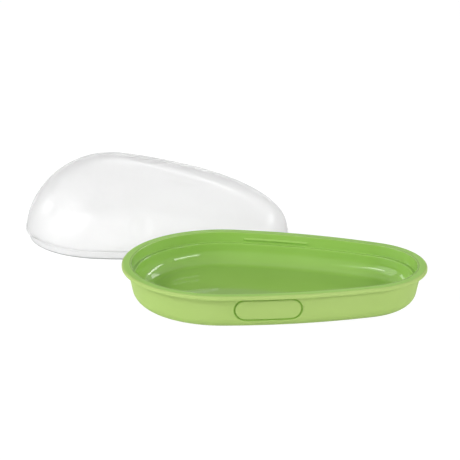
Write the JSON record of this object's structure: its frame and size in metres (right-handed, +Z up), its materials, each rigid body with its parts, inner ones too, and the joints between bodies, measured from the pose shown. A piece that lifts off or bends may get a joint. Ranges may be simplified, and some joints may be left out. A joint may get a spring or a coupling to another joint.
{
  "type": "avocado saver",
  "caption": "Shallow teardrop tray with a ledge and snap ribs inside its rim, and a separate translucent half-avocado dome lid whose skirt drops inside the ledge.",
  "frame": {"origin": "middle of the tray's flat underside, at the middle of the rim's length", "axes": "+X along the tray from the wide end to the narrow end, +Y towards the lid that stands behind, +Z up"},
  "size_m": [0.1966, 0.1755, 0.0398],
  "materials": {
    "green_tray": "matte moulded green outside, glossy inside",
    "clear_lid": "smooth translucent white"
  },
  "bodies": {
    "tray": {"base": "green_tray"},
    "cover": {"lid": "clear_lid"}
  },
  "joints": [
    {"name": "lid_lift", "type": "slide", "parent": "tray", "child": "cover", "axis": [0, 0, 1], "range_m": [0, 0.08]}
  ]
}
